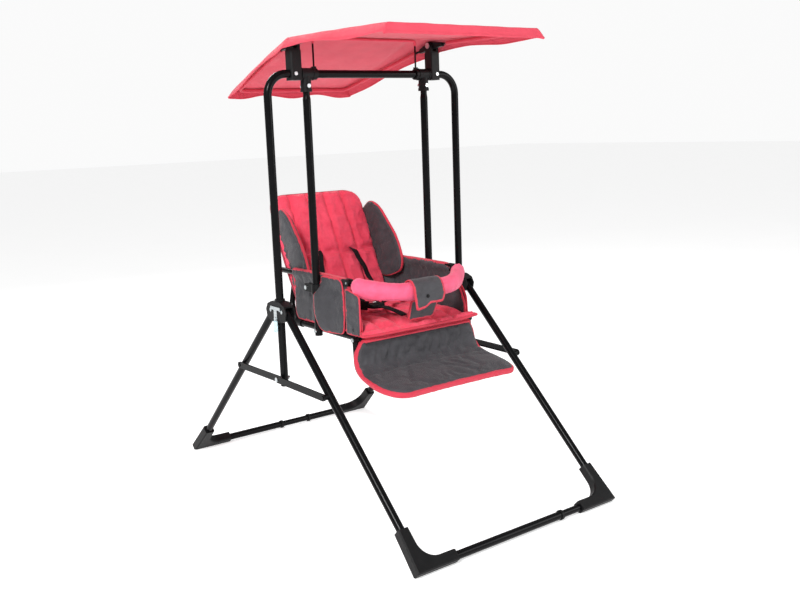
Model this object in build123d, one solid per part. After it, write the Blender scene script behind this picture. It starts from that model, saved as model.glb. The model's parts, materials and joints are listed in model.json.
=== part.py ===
from build123d import *
import os
from math import atan2, cos, degrees, hypot, radians, sin, tan

# Folding baby swing. Millimetres, +Z up, the floor is z = 0, the seat faces -Y, and the
# posts stand in the plane y = 0. "left" is the -X side and "right" the +X side.

# ---- driving dimensions ----
TUBE_R = 11.0            # main frame, legs and hangers: 22 mm tube
WALL = 1.2
SPIGOT_R = TUBE_R - WALL - 0.05
POST_X = 326.0           # posts and legs
CROSSBAR_Z = 1200.0
ARCH_BEND_R = 58.0
POST_TOP_Z = 1140.0
POST_BOTTOM_Z = 348.0

LEG_PIVOT_Y = 30.0       # leg bolts in the sliding bracket
LEG_PIVOT_Z = 560.0
FOOT_Y = 604.0           # floor bars
BAR_Z = 14.5
FRONT_COLLAR_X = 148.0
REAR_COLLAR_X = (-12.0, 99.0)
BRACE_Z = 365.0          # brace pivot at the foot of each post
BRACE_ON_LEG = 286.0     # brace pivot, measured down the leg from its bolt
BRACE_BAR_W = 19.0
REAR_BRACE_X = (340.0, 345.0)
FRONT_BRACE_X = (345.4, 350.4)

BRACKET_X = (311.0, 341.0)
BRACKET_BOTTOM_Z = 528.0
BRACKET_TOP_Z = 586.0
LOCK_Z = 566.0
LOCK_PLATE_X = (341.3, 343.3)

HANGER_X = 205.0
HANGER_BOTTOM_Z = 473.0
FITTING_X = (182.0, 223.0)
CANOPY_POST_X = (224.0, 257.0)
CANOPY_PIVOT_Z = 1283.0
HOOP_X = 177.0
HOOP_TOP_Z = 1295.0

RAIL_X = 184.0           # seat side rails
RAIL_Z = 484.0
RAIL_R = 9.5
RAIL_FRONT_Y = -182.0     # front cross bar, which is also the footrest's axis
RECLINE = 24.0           # backrest lean from the vertical, degrees
BACK_Y = 158.0           # foot of the backrest, at rail height
BACK_LENGTH = 398.0
BACK_HALF_W = 167.0
ARM_Z = 634.0
ARM_R = 8.0
ARM_JOINT_Y = -136.0
SEAT_TOP_Z = 520.0
PANEL_X = (182.0, 189.0)
FOOTREST_X = 203.0
FOOTREST_BEND = (-186.0, 392.0)      # y, z of the bend between calf and foot parts
FOOTREST_FRONT = (-358.0, 362.0)

CANOPY_RIDGE = (0.0, 1303.0, 258.0)      # y, z of the cloth, half width at the fold
CANOPY_FRONT = (-440.0, 1290.0, 241.0)
CANOPY_REAR = (420.0, 1181.0, 206.0)
CANOPY_CLOTH = 3.0
CANOPY_HEM_DROP = 23.0
CANOPY_FLARE = 20.0

RUN_FIT = 0.06           # radial running clearance
BOLT_R = 3.0

AT_END = (Align.CENTER, Align.CENTER, Align.MIN)
LEFT, RIGHT = -1, 1
SIDES = {"left": LEFT, "right": RIGHT}

os.makedirs("parts", exist_ok=True)


def save(name, *shapes):
    """Write one node: one piece, or a group of equal separate pieces."""
    solids = [solid for shape in shapes for solid in shape.solids()]
    export_step(solids[0] if len(solids) == 1 else Compound(children=solids), f"parts/{name}.step")


def rod(a, b, radius):
    a, b = Vector(*a), Vector(*b)
    return Plane(origin=a, z_dir=b - a) * Cylinder(radius, (b - a).length, align=AT_END)


def tube(a, b, radius=TUBE_R, wall=WALL):
    return rod(a, b, radius) - rod(a, b, radius - wall)


def ring(a, b, radius, bore):
    return rod(a, b, radius) - rod(a, b, bore)


def bent(points, radii, radius, wall=None):
    """Round bar, or tube when a wall is given, along straight runs joined by bends."""
    path = FilletPolyline(*points, radius=radii)
    section = Circle(radius) if wall is None else Circle(radius) - Circle(radius - wall)
    return sweep(Plane(origin=path @ 0, z_dir=path % 0) * section, path=path)


def block(x, y, z):
    """Box from three (low, high) pairs."""
    size = [high - low for low, high in (x, y, z)]
    middle = [(low + high) / 2 for low, high in (x, y, z)]
    return Pos(*middle) * Box(*size)


def span(side, low, high):
    """Distances from the middle plane turned into an ordered x pair on one side."""
    return tuple(sorted((side * low, side * high)))


def side_plate(side, x, outline):
    """Outline of (y, z) points, extruded between two distances from the middle plane."""
    low, high = span(side, *x)
    face = Plane(origin=(low, 0, 0), x_dir=(0, 1, 0), z_dir=(1, 0, 0)) * make_face(Polyline(*outline, close=True))
    return extrude(face, high - low, dir=(1, 0, 0))


# ---- frame with the posts ----
def top_arch():
    path = [(-POST_X, 0, POST_TOP_Z), (-POST_X, 0, CROSSBAR_Z), (POST_X, 0, CROSSBAR_Z), (POST_X, 0, POST_TOP_Z)]
    arch = bent(path, ARCH_BEND_R, TUBE_R, WALL)
    for side in (LEFT, RIGHT):
        x = side * POST_X
        arch += tube((x, 0, POST_TOP_Z - 26), (x, 0, POST_TOP_Z + 1.5), SPIGOT_R, 1.0)
        arch += ring((x, 0, POST_TOP_Z), (x, 0, POST_TOP_Z + 1.5), TUBE_R, SPIGOT_R - 1.0)
        arch -= rod((side * 245, -20, CROSSBAR_Z), (side * 245, 20, CROSSBAR_Z), BOLT_R)
    return arch


def post(side):
    x = side * POST_X
    body = tube((x, 0, POST_BOTTOM_Z), (x, 0, POST_TOP_Z))
    body -= rod((x, 0, LOCK_Z), (x + side * 20, 0, LOCK_Z), 4.3)
    return body - rod((x - 20, 0, BRACE_Z), (x + 20, 0, BRACE_Z), BOLT_R)


def post_plug(side):
    x = side * POST_X
    return rod((x, 0, POST_BOTTOM_Z - 5), (x, 0, POST_BOTTOM_Z), TUBE_R) + rod(
        (x, 0, POST_BOTTOM_Z - 1), (x, 0, POST_BOTTOM_Z + 12), SPIGOT_R)


def brace_bolt(side):
    def along(low, high, radius):
        return rod((side * low, 0, BRACE_Z), (side * high, 0, BRACE_Z), radius)
    return along(312, 351, BOLT_R) + along(310, 315, 5.5) + along(350.7, 353.5, 6.5) + along(337.2, 339.7, 8)


def canopy_post(side):
    x = span(side, *CANOPY_POST_X)
    body = block(x, (-17, 17), (1183, 1262)) + block(span(side, 225.5, 255.5), (-13, 13), (1262, 1283))
    body += rod((side * 225.5, 0, CANOPY_PIVOT_Z), (side * 255.5, 0, CANOPY_PIVOT_Z), 10.5)
    body = chamfer(body.edges().filter_by(Axis.Z).group_by(SortBy.LENGTH)[-1], 3)
    body -= rod((side * 220, 0, CROSSBAR_Z), (side * 262, 0, CROSSBAR_Z), TUBE_R + 0.02)
    body -= block(span(side, 233.5, 247.5), (-20, 20), (1266, 1300))
    body -= rod((side * 245, -18, CROSSBAR_Z), (side * 245, 18, CROSSBAR_Z), BOLT_R)
    return body - rod((side * 220, 0, CANOPY_PIVOT_Z), (side * 262, 0, CANOPY_PIVOT_Z), 4)


def canopy_post_screw(side):
    x = side * 245
    return rod((x, -19, CROSSBAR_Z), (x, 17, CROSSBAR_Z), BOLT_R - 0.01) + rod(
        (x, -19.2, CROSSBAR_Z), (x, -17, CROSSBAR_Z), 5)


def canopy_pivot(side):
    def along(low, high, radius):
        return rod((side * low, 0, CANOPY_PIVOT_Z), (side * high, 0, CANOPY_PIVOT_Z), radius)
    return along(223, 256, 4) + along(223, 225.5, 8.5) + along(255.5, 257.5, 8.5)


def prop_hoop():
    foot_z = CROSSBAR_Z + TUBE_R + 2
    path = [(-HOOP_X, 0, foot_z), (-HOOP_X, 0, HOOP_TOP_Z), (HOOP_X, 0, HOOP_TOP_Z), (HOOP_X, 0, foot_z)]
    return bent(path, 14, 2.5)


def hoop_clip(side):
    low, high = 172.0, 181.7
    clip = ring((side * low, 0, CROSSBAR_Z), (side * high, 0, CROSSBAR_Z), 16, TUBE_R + 0.02)
    clip += block(span(side, low, high), (-5, 5), (CROSSBAR_Z + 14, CROSSBAR_Z + 20))
    return clip - rod((side * HOOP_X, 0, CROSSBAR_Z + TUBE_R + 2), (side * HOOP_X, 0, CROSSBAR_Z + 25), 2.52)


# ---- sliding leg brackets and their locks ----
def hinge_bracket(side):
    outline = [(-22, 586), (22, 586), (45, 577), (55, 560), (50, 539), (36, 531), (16, 528),
               (-16, 528), (-36, 531), (-50, 539), (-55, 560), (-45, 577)]
    body = side_plate(side, BRACKET_X, outline)
    body += rod((side * POST_X, 0, BRACKET_TOP_Z - 2), (side * POST_X, 0, BRACKET_TOP_Z + 6), 14.5)
    body -= rod((side * POST_X, 0, 500), (side * POST_X, 0, 600), TUBE_R + 0.1)
    inner, outer = BRACKET_X
    for end in (-1, 1):
        y = end * LEG_PIVOT_Y
        gap = tuple(sorted((end * 17.5, end * 70)))
        body -= block(span(side, POST_X - 11.4, POST_X + 11.4), gap, (500, LEG_PIVOT_Z + 12.5))
        body -= rod((side * (inner - 1), y, LEG_PIVOT_Z), (side * (outer + 1), y, LEG_PIVOT_Z), BOLT_R)
        body -= rod((side * (outer - 1.5), y, LEG_PIVOT_Z), (side * (outer + 1), y, LEG_PIVOT_Z), 5.5)
    return body - rod((side * POST_X, 0, LOCK_Z), (side * (outer + 1), 0, LOCK_Z), 4.1)


def leg_bolt(side, end):
    def along(low, high, radius):
        y = end * LEG_PIVOT_Y
        return rod((side * low, y, LEG_PIVOT_Z), (side * high, y, LEG_PIVOT_Z), radius)
    inner, outer = BRACKET_X
    return along(inner - 4, outer - 0.2, BOLT_R) + along(inner - 3.5, inner, 5) + along(outer - 1.5, outer - 0.2, 5.5)


def lock_plate(side):
    inner, outer = LOCK_PLATE_X
    bar = side_plate(side, LOCK_PLATE_X, [(-26, 561), (-22, 561), (-20, 563), (-8, 563), (-8, 530), (8, 530),
                                          (8, 563), (20, 563), (22, 561), (26, 561), (26, 572), (-26, 572)])
    pull = rod((side * outer, 0, 538), (side * (outer + 2.5), 0, 538), 5)
    return bar + pull + rod((side * (POST_X + TUBE_R + 0.5), 0, LOCK_Z), (side * (inner + 0.5), 0, LOCK_Z), 4)


def lock_tag():
    return block(span(LEFT, LOCK_PLATE_X[1] + 0.2, LOCK_PLATE_X[1] + 1.4), (-13, 7), (522, 532))


# ---- legs, feet and floor bars ----
def leg_point(end, distance, x=0.0):
    """Point on a leg's centre line, measured down from its bolt. end is -1 front, 1 rear."""
    run, drop = FOOT_Y - LEG_PIVOT_Y, LEG_PIVOT_Z - BAR_Z
    share = distance / hypot(run, drop)
    return (x, end * (LEG_PIVOT_Y + run * share), LEG_PIVOT_Z - drop * share)


LEG_LENGTH = hypot(FOOT_Y - LEG_PIVOT_Y, LEG_PIVOT_Z - BAR_Z)


def leg_tube(side, end):
    """Leg with the welded boss that carries the end of its brace bar; a front leg mirrors a rear one."""
    x, y = side * POST_X, LEG_PIVOT_Y
    rounding = rod((x - 12, y, LEG_PIVOT_Z), (x + 12, y, LEG_PIVOT_Z), TUBE_R)
    below = rod(leg_point(1, 0, x), leg_point(1, LEG_LENGTH, x), TUBE_R + 1)
    leg = tube(leg_point(1, -TUBE_R, x), leg_point(1, LEG_LENGTH - 16, x)) & (rounding + below)
    leg -= rod((x - 15, y, LEG_PIVOT_Z), (x + 15, y, LEG_PIVOT_Z), BOLT_R + RUN_FIT)
    _, boss_y, boss_z = leg_point(1, BRACE_ON_LEG)
    boss_end = (REAR_BRACE_X if end > 0 else FRONT_BRACE_X)[0] - 0.3
    boss = rod((side * (POST_X + TUBE_R - 3), boss_y, boss_z), (side * boss_end, boss_y, boss_z), 8)
    leg += boss - rod(leg_point(1, 0, x), leg_point(1, LEG_LENGTH, x), TUBE_R - 0.5)
    return leg if end > 0 else mirror(leg, about=Plane.XZ)


def foot(side, end, bar_radius):
    """Corner moulding that joins a leg to the floor bar, with a flat underside."""
    corner = Vector(side * POST_X, end * FOOT_Y, BAR_Z)
    up_leg = Vector(*leg_point(end, 0, side * POST_X)) - corner
    inward = Vector(-side, 0, 0)
    plane = Plane(origin=corner, x_dir=inward, z_dir=inward.cross(up_leg))
    outline = make_face(Polyline((-23, -14), (106, -14), (106, 15.5), (15.5, 15.5), (15.5, 104), (-15.5, 104), close=True))
    inner = outline.vertices().sort_by_distance((15.5, 15.5))[0]
    outline = fillet(inner, 46)
    body = extrude(plane * outline, 14.5, both=True)
    rounded = body.edges().filter_by(lambda edge: edge.length > 60)
    body = chamfer(rounded, 3.5)
    body -= rod(leg_point(end, LEG_LENGTH - 16, side * POST_X), leg_point(end, 0, side * POST_X), TUBE_R + 0.02)
    body -= rod((side * (POST_X - 18), end * FOOT_Y, BAR_Z), (0, end * FOOT_Y, BAR_Z), bar_radius + 0.02)
    return body - Pos(0, 0, -50) * Box(2000, 2000, 100)


def floor_tube(end, x_from, x_to, radius=TUBE_R):
    return tube((x_from, end * FOOT_Y, BAR_Z), (x_to, end * FOOT_Y, BAR_Z), radius, 1.2)


def bar_collar(end, x):
    """Plastic collar at the mouth of the wider tube."""
    return ring((x - 4, end * FOOT_Y, BAR_Z), (x + 4, end * FOOT_Y, BAR_Z), 13.5, TUBE_R + 0.02)


# ---- brace bars ----
def brace_bar(side, end):
    """Pressed channel from the post's foot to the leg, with a rivet at the leg."""
    x = REAR_BRACE_X if end > 0 else FRONT_BRACE_X
    inner, outer = x
    _, leg_y, leg_z = leg_point(end, BRACE_ON_LEG)
    length = hypot(leg_y, leg_z - BRACE_Z)
    along = Plane(origin=(side * inner, 0, BRACE_Z), x_dir=(0, leg_y, leg_z - BRACE_Z), z_dir=(side, 0, 0))
    depth = outer - inner
    bar = extrude(along * (Pos(length / 2, 0) * SlotCenterToCenter(length, BRACE_BAR_W)), depth)
    channel = extrude(along * (Pos(length / 2, 0) * Rectangle(length - 32, BRACE_BAR_W - 4)), depth - 1.6)
    bar -= channel
    return bar - rod((side * (inner - 1), 0, BRACE_Z), (side * (outer + 1), 0, BRACE_Z), BOLT_R + RUN_FIT)


def brace_rivet(side, end):
    _, y, z = leg_point(end, BRACE_ON_LEG)
    outer = (REAR_BRACE_X if end > 0 else FRONT_BRACE_X)[1]
    head = rod((side * (outer - 0.2), y, z), (side * (outer + 2), y, z), 5.5)
    return head


# ---- swinging seat frame ----
def hanger_fitting(side):
    low, high = FITTING_X
    x = side * HANGER_X
    body = rod((side * low, 0, CROSSBAR_Z), (side * high, 0, CROSSBAR_Z), 16)
    body += rod((side * low, 0, CROSSBAR_Z), (side * (low + 4), 0, CROSSBAR_Z), 17.5)
    body += rod((side * (high - 4), 0, CROSSBAR_Z), (side * high, 0, CROSSBAR_Z), 17.5)
    body += rod((x, 0, 1152), (x, 0, CROSSBAR_Z - 6), 14.5) + rod((x, 0, 1152), (x, 0, 1160), 16)
    body -= rod((side * (low - 1), 0, CROSSBAR_Z), (side * (high + 1), 0, CROSSBAR_Z), TUBE_R + RUN_FIT)
    body -= rod((x, 0, 1150), (x, 0, 1182), 9.52)
    return body - rod((x, -20, 1168), (x, 20, 1168), BOLT_R)


def hanger_tube(side):
    x = side * HANGER_X
    outer = [(9.5, 1181), (9.5, 1142), (TUBE_R, 1132), (TUBE_R, HANGER_BOTTOM_Z)]
    inner = [(r - WALL, z) for r, z in reversed(outer)]
    profile = Plane.XZ * make_face(Polyline(*outer, *inner, close=True))
    body = Pos(x, 0, 0) * revolve(profile, Axis.Z)
    body -= rod((x, -20, 1168), (x, 20, 1168), BOLT_R)
    return body - rod((x - 20, 0, RAIL_Z), (x + 20, 0, RAIL_Z), BOLT_R)


def hanger_bolt(side):
    x = side * HANGER_X

    def along(low, high, radius):
        return rod((x, low, 1168), (x, high, 1168), radius)
    return along(-17.5, 18, BOLT_R - 0.01) + along(-17.5, -14.6, 5.5) + along(14.6, 20, 7)


def hanger_plug(side):
    x, z = side * HANGER_X, HANGER_BOTTOM_Z
    return rod((x, 0, z - 4), (x, 0, z), TUBE_R) + rod((x, 0, z - 1), (x, 0, z + 6), SPIGOT_R)


def seat_bolt(side):
    def along(low, high, radius):
        return rod((side * low, 0, RAIL_Z), (side * high, 0, RAIL_Z), radius)
    return along(171, 218, BOLT_R - 0.01) + along(216, 219, 6) + along(170, 174.4, 5.5)


def seat_tube():
    """Side rails of the seat with the front cross bar welded between them."""
    bar_end = RAIL_X - RAIL_R + WALL / 2
    body = tube((-bar_end, RAIL_FRONT_Y, RAIL_Z), (bar_end, RAIL_FRONT_Y, RAIL_Z), RAIL_R - 1, WALL)
    for side in (LEFT, RIGHT):
        x = side * RAIL_X
        rail = tube((x, BACK_Y - 18, RAIL_Z), (x, RAIL_FRONT_Y - 12, RAIL_Z), RAIL_R, WALL)
        for y in (0, RAIL_FRONT_Y):
            rail -= rod((x - 15, y, RAIL_Z), (x + 15, y, RAIL_Z), BOLT_R)
        body += rail
    return body


def back_point(x, up, forward=0.0):
    """Point of the backrest: distance up the back, and distance forward of its tube."""
    lean = radians(RECLINE)
    return (x, BACK_Y + up * sin(lean) - forward * cos(lean), RAIL_Z + up * cos(lean) + forward * sin(lean))


BACK_PLANE = Plane(origin=back_point(0, 0), x_dir=(1, 0, 0), z_dir=Vector(*back_point(0, 0, 1)) - Vector(*back_point(0, 0)))


def backrest_tube():
    """Hoop of the backrest; its legs lean in from the rails to the pad's width."""
    wide, narrow = RAIL_X, BACK_HALF_W - 14
    path = [back_point(-wide, 18), back_point(-wide, 54), back_point(-narrow, 128), back_point(-narrow, BACK_LENGTH - 14),
            back_point(narrow, BACK_LENGTH - 14), back_point(narrow, 128), back_point(wide, 54), back_point(wide, 18)]
    return bent(path, [50, 50, 45, 45, 50, 50], RAIL_R - 1, WALL)


def rail_elbow(side):
    """Moulded elbow over the rear end of a rail and the foot of the backrest tube."""
    x = side * RAIL_X
    centre = (x, BACK_Y, RAIL_Z)
    body = Pos(*centre) * Sphere(12.5) + rod(centre, (x, BACK_Y - 38, RAIL_Z), 12.5) + rod(centre, back_point(x, 40), 12)
    body -= rod((x, BACK_Y - 18, RAIL_Z), (x, BACK_Y - 60, RAIL_Z), RAIL_R + 0.02)
    body -= rod(back_point(x, 18), back_point(x, 60), RAIL_R - 1 + 0.02)
    return body - rod((side * (RAIL_X - 9), BACK_Y, RAIL_Z), (0, BACK_Y, RAIL_Z), 8.02)


def rear_cross_tube():
    return tube((-RAIL_X + 9, BACK_Y, RAIL_Z), (RAIL_X - 9, BACK_Y, RAIL_Z), 8)


ARM_REAR = back_point(0, (ARM_Z - RAIL_Z) / cos(radians(RECLINE)))


def arm_tube(side):
    """Armrest tube from the backrest to the bumper joint."""
    x = side * RAIL_X
    return tube((x, ARM_REAR[1] + 8, ARM_Z), (x, ARM_JOINT_Y + 12, ARM_Z), ARM_R)


def arm_strut(side):
    """Short bar that ties the armrest tube to the backrest tube."""
    strut = rod((side * (BACK_HALF_W - 14), *ARM_REAR[1:]), (side * RAIL_X, *ARM_REAR[1:]), 6)
    strut -= rod((side * RAIL_X, ARM_REAR[1] + 20, ARM_Z), (side * RAIL_X, ARM_REAR[1] - 20, ARM_Z), ARM_R + 0.02)
    return strut - rod(back_point(side * (BACK_HALF_W - 14), 130), back_point(side * (BACK_HALF_W - 14), 200), RAIL_R - 0.98)


def arm_clamp(side):
    """Clip round the hanger with a lug behind it, under the armrest."""
    x = side * HANGER_X
    body = rod((x, 0, 592), (x, 0, 618), 15) + block(span(side, 196, 214), (8, 50), (594, 616))
    body -= rod((x, 0, 580), (x, 0, 630), TUBE_R + 0.02)
    body -= block(span(side, 201, 209), (24, 60), (590, 620))
    body -= rod((side * 190, 42, 605), (side * 220, 42, 605), BOLT_R)
    return body - block(span(side, 180, 193.5), (-30, 30), (590, 620))


def arm_clamp_screw(side):
    def along(low, high, radius):
        return rod((side * low, 42, 605), (side * high, 42, 605), radius)
    return along(194, 217, BOLT_R - 0.01) + along(214, 217.5, 6) + along(193.8, 196, 5.5)


def arm_joint(side):
    """Forked end of the armrest that holds the bumper bar's eye."""
    x = side * RAIL_X
    body = block(span(side, RAIL_X - 10, RAIL_X + 10), (ARM_JOINT_Y, ARM_JOINT_Y + 22), (ARM_Z - 10, ARM_Z + 10))
    body += rod((x - 10, ARM_JOINT_Y, ARM_Z), (x + 10, ARM_JOINT_Y, ARM_Z), 10)
    body -= rod((x, ARM_JOINT_Y + 12, ARM_Z), (x, ARM_JOINT_Y + 40, ARM_Z), ARM_R + 0.02)
    body -= block(span(side, RAIL_X - 4.5, RAIL_X + 4.5), (ARM_JOINT_Y - 15, ARM_JOINT_Y + 10.5), (ARM_Z - 15, ARM_Z + 15))
    return body - rod((x - 15, ARM_JOINT_Y, ARM_Z), (x + 15, ARM_JOINT_Y, ARM_Z), BOLT_R)


def arm_joint_pin(side):
    x = side * RAIL_X
    return rod((x - 11, ARM_JOINT_Y, ARM_Z), (x + 11, ARM_JOINT_Y, ARM_Z), BOLT_R - 0.01)


# ---- seat fabric ----
def seat_base():
    return block((-188, 188), (-184, 118), (RAIL_Z + 9.8, RAIL_Z + 12.6))


def seat_cushion():
    low, high = RAIL_Z + 12.9, SEAT_TOP_Z
    rear, front, lip_x = 112, -214, 204
    middle = Pos(0, (rear + front) / 2) * Rectangle(2 * 179, rear - front)
    lip = Pos(0, front + 10.5) * Rectangle(2 * lip_x, 21)
    body = extrude(Pos(0, 0, low) * (middle + lip), high - low)
    return fillet(body.edges().filter_by(Axis.Z), 6)


def backrest_pad():
    top_corners = Pos(0, 205) * Rectangle(2 * BACK_HALF_W, 370)
    outline = fillet(top_corners.vertices().group_by(Axis.Y)[-1], 60)
    outline = outline.face() if hasattr(outline, "face") else outline
    return extrude(BACK_PLANE * Pos(0, 0, RAIL_R + 0.5) * outline, 22)


def head_bolster(side):
    """Leaf-shaped side wing that stands forward from the edge of the backrest."""
    leaf = [(104, 34), (90, 60), (96, 100), (122, 127), (180, 136), (295, 106), (343, 66), (334, 34)]
    points = [back_point(0, up, forward)[1:] for up, forward in leaf]
    body = side_plate(side, (BACK_HALF_W - 12, BACK_HALF_W + 3), points)
    return chamfer(body.edges().filter_by(lambda edge: abs((edge % 0).X) < 0.01), 3)


def side_panel(side):
    top = ARM_Z - 10.5
    outline = [(142, 498), (150, 522), (150, top), (-118, top), (-150, 600), (-178, 560), (-190, 525), (-190, 498)]
    return side_plate(side, PANEL_X, outline)


FLAP_X = (189.4, 193.4)


def arm_flap(side):
    return side_plate(side, FLAP_X, [(-16, 500), (-14, 623), (-116, 623), (-119, 530), (-112, 495), (-30, 495)])


def front_flap(side):
    return side_plate(side, FLAP_X, [(-127, 497), (-127, 600), (-150, 597), (-186, 560), (-191, 522), (-191, 497)])


def crotch_panel():
    """Upright panel between the legs, from the cushion to the bumper wrap."""
    face = Plane(origin=(0, -205, SEAT_TOP_Z + 0.5), x_dir=(1, 0, 0), z_dir=(0, -1, 0)) * make_face(
        Polyline((-36, 0), (48, 0), (60, 50), (-34, 54), close=True))
    return extrude(face, 5, dir=(0, 1, 0))


def shoulder_strap(x):
    up_low, up_high = 62, 196
    low, high = Vector(*back_point(x, up_low, 33.6)), Vector(*back_point(x, up_high, 33.6))
    plane = Plane(origin=(low + high) / 2, x_dir=(1, 0, 0), z_dir=BACK_PLANE.z_dir)
    return plane * Box(25, (high - low).length, 2)


def lap_strap(side):
    plane = Plane(origin=(side * 88, 20, SEAT_TOP_Z + 1.6), x_dir=(side * 0.86, 0.51, 0), z_dir=(0, 0, 1))
    return plane * Box(120, 25, 2)


def buckle():
    body = Pos(0, -22, SEAT_TOP_Z + 7.5) * Box(52, 40, 13)
    return fillet(body.edges().filter_by(Axis.Z), 8)


# ---- bumper bar ----
BUMPER_SLOPE = 0.193     # the bow drops this much for each millimetre forward


def bumper_path(start):
    """Bow from the left eye to the right eye; start is how far in front of the eyes it begins."""
    half = [(RAIL_X - 1, ARM_JOINT_Y - start), (RAIL_X - 4, -164), (125, -224), (75, -247)]
    points = [(x, y, ARM_Z + (y - ARM_JOINT_Y) * BUMPER_SLOPE) for x, y in half]
    return [(-x, y, z) for x, y, z in points] + points[::-1]


def bow(start, radius, wall=None):
    return bent(bumper_path(start), [20, 95, 90, 90, 95, 20], radius, wall)


def bumper_tube():
    body = bow(13, 7.0, WALL)
    for side in (LEFT, RIGHT):
        x = side * RAIL_X
        eye = rod((x - 4.2, ARM_JOINT_Y, ARM_Z), (x + 4.2, ARM_JOINT_Y, ARM_Z), 9.5)
        neck = block(span(side, RAIL_X - 4.2, RAIL_X + 4.2), (ARM_JOINT_Y - 15, ARM_JOINT_Y), (ARM_Z - 6.4, ARM_Z + 2.4))
        body += eye + neck
        body -= rod((x - 9, ARM_JOINT_Y, ARM_Z), (x + 9, ARM_JOINT_Y, ARM_Z), BOLT_R + RUN_FIT)
    return body


def bumper_pad():
    return bow(18, 20.0) - bow(16, 7.3)


def bumper_wrap():
    """Cover round the middle of the pad, with a hanging lower edge."""
    low, high = -50, 34
    y = -247
    z = ARM_Z + (y - ARM_JOINT_Y) * BUMPER_SLOPE
    return ring((low, y, z), (high, y, z), 24, 20.4) + block((low, high), (y - 24, y - 20.5), (z - 46, z))


# ---- footrest ----
def footrest_tube():
    bend_y, bend_z = FOOTREST_BEND
    front_y, front_z = FOOTREST_FRONT
    x = FOOTREST_X
    path = [(-x, RAIL_FRONT_Y, RAIL_Z - 5), (-x, bend_y, bend_z), (-x, front_y, front_z),
            (x, front_y, front_z), (x, bend_y, bend_z), (x, RAIL_FRONT_Y, RAIL_Z - 5)]
    body = bent(path, 38, ARM_R, WALL)
    for side in (LEFT, RIGHT):
        def eye(half_width, radius):
            return rod((side * (x - half_width), RAIL_FRONT_Y, RAIL_Z), (side * (x + half_width), RAIL_FRONT_Y, RAIL_Z), radius)
        body += eye(ARM_R, 8.5)
        body -= eye(ARM_R + 4, BOLT_R + RUN_FIT)
    return body


def footrest_bolt(side):
    def along(low, high, radius):
        return rod((side * low, RAIL_FRONT_Y, RAIL_Z), (side * high, RAIL_FRONT_Y, RAIL_Z), radius)
    return along(173, 213, BOLT_R - 0.01) + along(211.3, 214, 6) + along(170, 174.4, 5.5)


def footrest_pad():
    """Padded flap over the footrest tube: calf part above the bend, foot part in front."""
    stand = ARM_R + 5.0
    (bend_y, bend_z), (front_y, front_z) = FOOTREST_BEND, FOOTREST_FRONT
    line = FilletPolyline((bend_y - stand + 3, 470), (bend_y - stand, bend_z + stand),
                          (front_y - 14, front_z + stand - 2), radius=26)
    profile = Plane(origin=(-212, 0, 0), x_dir=(0, 1, 0), z_dir=(1, 0, 0)) * trace(line, 8.5)
    body = extrude(profile, 424, dir=(1, 0, 0))
    plan = Pos(0, -176) * Rectangle(424, 400)
    plan = fillet(plan.vertices().group_by(Axis.Y)[0], 48)
    return body & extrude(plan, 600)


# ---- canopy ----
def canopy_knuckle(side):
    """Moulded arm on the canopy post that holds the front and rear rods."""
    front_slope = atan2(CANOPY_RIDGE[1] - CANOPY_FRONT[1], -CANOPY_FRONT[0])
    rear_slope = atan2(CANOPY_RIDGE[1] - CANOPY_REAR[1], CANOPY_REAR[0])
    low, high = (234.0, 247.0)
    z = CANOPY_PIVOT_Z
    rear_z, front_z = z + 3 - 52 * tan(rear_slope), z + 3 - 52 * tan(front_slope)
    outline = [(0, z - 9.5), (-52, front_z - 6), (-52, front_z + 5), (-6, z + 9.5), (6, z + 9.5), (52, rear_z + 5), (52, rear_z - 6)]
    body = side_plate(side, (low, high), outline)
    body -= rod((side * 230, 0, z), (side * 250, 0, z), 4 + RUN_FIT)
    for points in (canopy_rod_points(CANOPY_FRONT, -1), canopy_rod_points(CANOPY_REAR, 1)):
        near, far = Vector(*points[0 if side < 0 else 3]), Vector(*points[1 if side < 0 else 2])
        body -= Plane(origin=near, z_dir=far - near) * Cylinder(3.02, 60, align=AT_END)
    return body


def canopy_rod_points(edge, end):
    y, z, half = edge
    slope = (CANOPY_RIDGE[1] - z) / abs(y)
    near_z = CANOPY_PIVOT_Z + 3 - 30 * slope
    far_y, far_z = y - end * 8, z - CANOPY_CLOTH - 4.5
    near = 240.5
    return [(-near, end * 30, near_z), (-half + 8, far_y, far_z), (half - 8, far_y, far_z), (near, end * 30, near_z)]


def canopy_rod(edge, end):
    return bent(canopy_rod_points(edge, end), 30, 3.0)


def canopy_section(edge):
    """Hat-shaped cross-section of the cloth: flat top with flared, hanging sides."""
    y, z, half = edge
    hem_x, hem_z, thick = half + CANOPY_FLARE, z - CANOPY_HEM_DROP, CANOPY_CLOTH
    outer = [(-hem_x, hem_z), (-half, z), (half, z), (hem_x, hem_z)]
    inner = [(hem_x - 1.6 * thick, hem_z), (half - 0.6 * thick, z - thick), (-half + 0.6 * thick, z - thick),
             (-hem_x + 1.6 * thick, hem_z)]
    points = [Vector(px, y, pz) for px, pz in outer + inner]
    return make_face(Polyline(*points, close=True))


def canopy_cover():
    body = loft([canopy_section(CANOPY_FRONT), canopy_section(CANOPY_RIDGE)], ruled=True)
    body += loft([canopy_section(CANOPY_RIDGE), canopy_section(CANOPY_REAR)], ruled=True)
    for end, (y, z, half) in ((-1, CANOPY_FRONT), (1, CANOPY_REAR)):
        plane = Plane(origin=(0, y, 0), x_dir=(1, 0, 0), z_dir=(0, -1, 0))
        hem_z, hem_x = z - CANOPY_HEM_DROP, half + CANOPY_FLARE
        flap = make_face(Polyline((-hem_x, hem_z), (-half, z), (half, z), (hem_x, hem_z), close=True))
        body += extrude(plane * flap, CANOPY_CLOTH, dir=(0, end, 0))
    return body


# ---- write every node ----
ENDS = {"front": -1, "rear": 1}


def pair(make):
    """The left and right versions of one piece."""
    return make(LEFT), make(RIGHT)


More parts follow.
